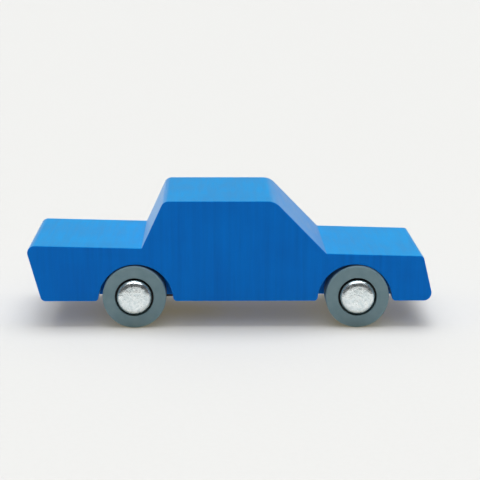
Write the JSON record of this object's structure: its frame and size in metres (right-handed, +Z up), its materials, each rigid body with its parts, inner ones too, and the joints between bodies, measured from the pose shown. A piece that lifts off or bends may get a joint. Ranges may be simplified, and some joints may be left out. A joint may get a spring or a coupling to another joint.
{
  "type": "pull-back toy car",
  "caption": "Painted wooden toy saloon car cut in profile, with rubber-tyred wheels, domed hub caps and a pull-back spring motor under the boot that drives the rear axle.",
  "frame": {"origin": "on the floor, under the middle of the car's length and width; the tyres stand on Z = 0", "axes": "+X to the nose, the way the car runs when it is let go; +Y to the car's left; +Z up"},
  "size_m": [0.14, 0.0524, 0.0447],
  "materials": {
    "painted_wood": "satin blue paint",
    "tyre_rubber": "matt",
    "cap_zinc": "bright zinc plate",
    "wheel_plastic": "moulded",
    "shaft_steel": "drawn",
    "spring_steel": "blued",
    "screw_steel": "zinc plate",
    "pinion_brass": "cut",
    "motor_plastic": "moulded",
    "gear_nylon": "moulded",
    "block_nylon": "moulded"
  },
  "bodies": {
    "car": {"body_block": "painted_wood", "motor_base": "motor_plastic", "motor_lid": "motor_plastic", "motor_lid_screws": "screw_steel", "motor_mount_screws": "screw_steel", "spring_arbor": "shaft_steel", "clutch_shaft": "shaft_steel", "click_spring": "spring_steel", "mainspring": "spring_steel", "rear_axle_spacers": "block_nylon", "front_axle_block": "block_nylon", "front_block_screws": "screw_steel", "front_axle_washers": "block_nylon"},
    "rear_wheels": {"rear_axle": "shaft_steel", "axle_pinion": "pinion_brass", "rear_left_tyre": "tyre_rubber", "rear_left_wheel_core": "wheel_plastic", "rear_left_hub_cap": "cap_zinc", "rear_right_tyre": "tyre_rubber", "rear_right_wheel_core": "wheel_plastic", "rear_right_hub_cap": "cap_zinc"},
    "front_wheels": {"front_axle": "shaft_steel", "front_left_tyre": "tyre_rubber", "front_left_wheel_core": "wheel_plastic", "front_left_hub_cap": "cap_zinc", "front_right_tyre": "tyre_rubber", "front_right_wheel_core": "wheel_plastic", "front_right_hub_cap": "cap_zinc"},
    "clutch_output": {"clutch_pinion": "gear_nylon"},
    "clutch_input": {"ratchet_gear": "gear_nylon"},
    "drum": {"spring_drum": "gear_nylon", "drum_cover": "shaft_steel"}
  },
  "joints": [
    {"name": "rear_axle_spin", "type": "hinge", "parent": "car", "child": "rear_wheels", "pos_m": [-0.0333, 0, 0.011], "axis": [0, 1, 0], "continuous": true, "stiffness_Nm_per_rad": 0.000077},
    {"name": "front_axle_spin", "type": "hinge", "parent": "car", "child": "front_wheels", "pos_m": [0.0441, 0, 0.011], "axis": [0, 1, 0], "continuous": true},
    {"name": "clutch_spin", "type": "hinge", "parent": "car", "child": "clutch_output", "pos_m": [-0.02637, 0, 0.015], "axis": [0, 1, 0], "continuous": true},
    {"name": "ratchet_lift", "type": "slide", "parent": "clutch_output", "child": "clutch_input", "axis": [0, -1, 0], "range_m": [0, 0.0006], "stiffness_N_per_m": 50, "springref_m": -0.0006, "deforming": ["click_spring"]},
    {"name": "drum_spin", "type": "hinge", "parent": "car", "child": "drum", "pos_m": [-0.01725, 0, 0.0162], "axis": [0, 1, 0], "continuous": true, "deforming": ["mainspring"]}
  ],
  "couplings": [
    {"joint": "clutch_spin", "follows": "rear_axle_spin", "ratio": -0.33333},
    {"joint": "drum_spin", "follows": "rear_axle_spin", "ratio": 0.092593}
  ]
}
